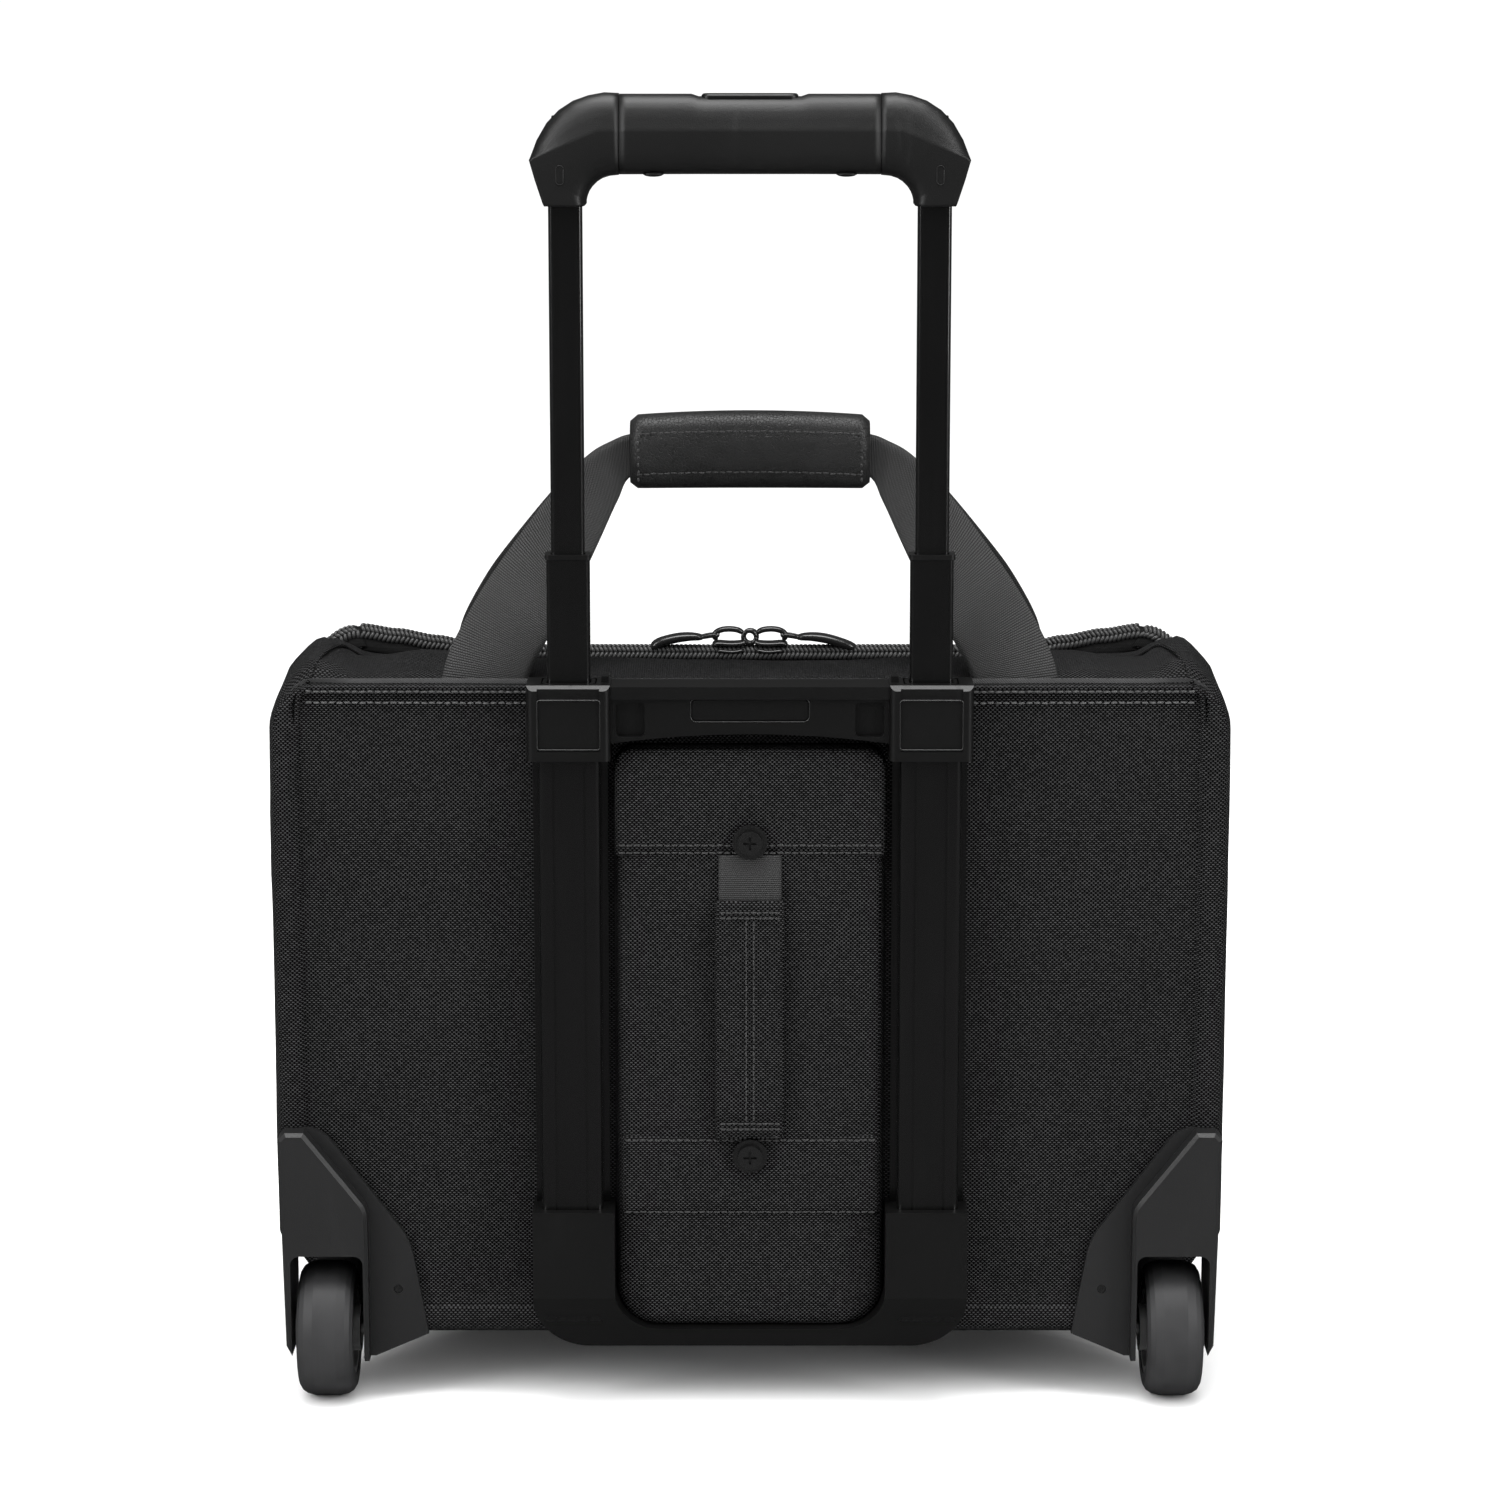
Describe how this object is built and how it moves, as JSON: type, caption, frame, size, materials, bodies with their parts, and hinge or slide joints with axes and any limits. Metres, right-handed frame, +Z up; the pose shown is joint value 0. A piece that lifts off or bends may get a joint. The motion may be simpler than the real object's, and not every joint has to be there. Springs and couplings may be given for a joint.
{
  "type": "rolling laptop case",
  "caption": "Soft two-wheel rolling laptop case with a telescopic rear handle, twin carry straps joined by a leather wrap, and a zipped front that hinges open.",
  "frame": {"origin": "on the floor, under the centre of the whole case's box", "axes": "+Z up, trolley side faces -Y, +X to the right seen from the trolley side"},
  "size_m": [0.408, 0.22, 0.562],
  "materials": {
    "body_fabric": "coarse ballistic weave, dry matt",
    "pad_fabric": "coarse ballistic weave over foam",
    "lining": "smooth lining",
    "webbing": "ribbed nylon webbing",
    "leather": "smooth full grain, satin",
    "zip_coil": "nylon coil and woven tape",
    "zip_metal": "satin black plating",
    "profile_black": "gloss black anodised",
    "moulding": "fine satin texture",
    "grip_soft": "soft touch, satin",
    "board": "sheet polypropylene",
    "housing": "moulded, fine texture",
    "tyre": "dark grey moulded tyre",
    "hub": "moulded",
    "steel": "zinc plated",
    "screw_black": "black oxide",
    "foot_rubber": "moulded"
  },
  "bodies": {
    "case": {"rear_shell": "body_fabric", "back_board": "board", "bottom_board": "board", "main_zip_rear_chain": "zip_coil", "front_feet": "foot_rubber", "trolley_top_bracket": "moulding", "badge_plate": "moulding", "trolley_foot_bracket": "moulding", "body_screws": "steel", "wheel_axles": "steel", "spine_pad": "pad_fabric", "spine_screws": "screw_black", "grab_strap_ends": "webbing", "carry_strap_feet": "webbing", "wheel_housing_left": "housing", "wheel_housing_right": "housing", "outer_profile_left": "profile_black", "outer_profile_right": "profile_black"},
    "stage1": {"stage1_tube_left": "profile_black", "stage1_tube_right": "profile_black", "stage1_caps": "moulding", "stage1_lock_plugs": "moulding"},
    "stage2": {"stage2_tube_left": "profile_black", "stage2_tube_right": "profile_black", "stage2_caps": "moulding", "stage2_lock_plugs": "moulding"},
    "stage3": {"stage3_tube_left": "profile_black", "stage3_tube_right": "profile_black", "stage3_lock_plugs": "moulding", "grip_cover": "grip_soft", "grip_core": "moulding", "grip_elbow_left": "moulding", "grip_elbow_right": "moulding", "button_springs": "steel"},
    "release": {"release_button": "moulding", "actuator_bar": "moulding", "push_rods": "steel"},
    "wheel_left": {"tyre_left": "tyre", "hub_left": "hub", "bearings_left": "steel"},
    "wheel_right": {"tyre_right": "tyre", "hub_right": "hub", "bearings_right": "steel"},
    "front_panel": {"front_shell": "body_fabric", "laptop_divider": "lining", "front_pocket": "body_fabric", "front_pocket_zip": "zip_coil", "main_zip_front_chain": "zip_coil"},
    "pocket_slider": {"pocket_zip_slider": "zip_metal"},
    "pocket_puller": {"pocket_zip_puller": "zip_metal"},
    "slider_left": {"zip_slider_left": "zip_metal"},
    "slider_right": {"zip_slider_right": "zip_metal"},
    "puller_left": {"zip_puller_left": "zip_metal"},
    "puller_right": {"zip_puller_right": "zip_metal"},
    "carry_handle": {"rear_carry_strap": "webbing", "front_carry_strap": "webbing", "grip_wrap": "leather", "wrap_snaps": "zip_metal"},
    "grab_handle": {"grab_strap": "webbing", "grab_sleeve": "pad_fabric"}
  },
  "joints": [
    {"name": "stage1_slide", "type": "slide", "parent": "case", "child": "stage1", "axis": [0, 0, 1], "range_m": [0, 0.215]},
    {"name": "stage2_slide", "type": "slide", "parent": "stage1", "child": "stage2", "axis": [0, 0, 1], "range_m": [-0.05, 0.165]},
    {"name": "stage3_slide", "type": "slide", "parent": "stage2", "child": "stage3", "axis": [0, 0, 1], "range_m": [-0.143, 0.062]},
    {"name": "release_press", "type": "slide", "parent": "stage3", "child": "release", "axis": [0, 0, -1], "range_m": [0, 0.003], "stiffness_N_per_m": 500, "springref_m": -0.002, "deforming": ["button_springs"]},
    {"name": "wheel_left_spin", "type": "hinge", "parent": "case", "child": "wheel_left", "pos_m": [-0.183, -0.0807, 0.0293], "axis": [1, 0, 0], "continuous": true},
    {"name": "wheel_right_spin", "type": "hinge", "parent": "case", "child": "wheel_right", "pos_m": [0.183, -0.0807, 0.0293], "axis": [1, 0, 0], "continuous": true},
    {"name": "front_open", "type": "hinge", "parent": "case", "child": "front_panel", "pos_m": [0, 0.04, 0.028], "axis": [-1, 0, 0], "range_deg": [0, 90]},
    {"name": "zip_slide_left", "type": "slide", "parent": "case", "child": "slider_left", "axis": [-1, 0, 0], "range_m": [0, 0.11]},
    {"name": "zip_slide_right", "type": "slide", "parent": "case", "child": "slider_right", "axis": [1, 0, 0], "range_m": [0, 0.11]},
    {"name": "puller_left_flip", "type": "hinge", "parent": "slider_left", "child": "puller_left", "pos_m": [-0.0145, 0.04, 0.3149], "axis": [0, 1, 0], "range_deg": [0, 110]},
    {"name": "puller_right_flip", "type": "hinge", "parent": "slider_right", "child": "puller_right", "pos_m": [0.0145, 0.04, 0.3149], "axis": [0, -1, 0], "range_deg": [0, 110]},
    {"name": "pocket_zip_slide", "type": "slide", "parent": "front_panel", "child": "pocket_slider", "axis": [1, 0, 0], "range_m": [0, 0.3]},
    {"name": "pocket_puller_flip", "type": "hinge", "parent": "pocket_slider", "child": "pocket_puller", "pos_m": [-0.15, 0.1086, 0.236], "axis": [1, 0, 0], "range_deg": [0, 170]},
    {"name": "carry_handle_sway", "type": "slide", "parent": "case", "child": "carry_handle", "axis": [0, 1, 0], "range_m": [-0.006, 0.015]},
    {"name": "grab_handle_lift", "type": "slide", "parent": "case", "child": "grab_handle", "axis": [0, -1, 0], "range_m": [0, 0.015]}
  ]
}
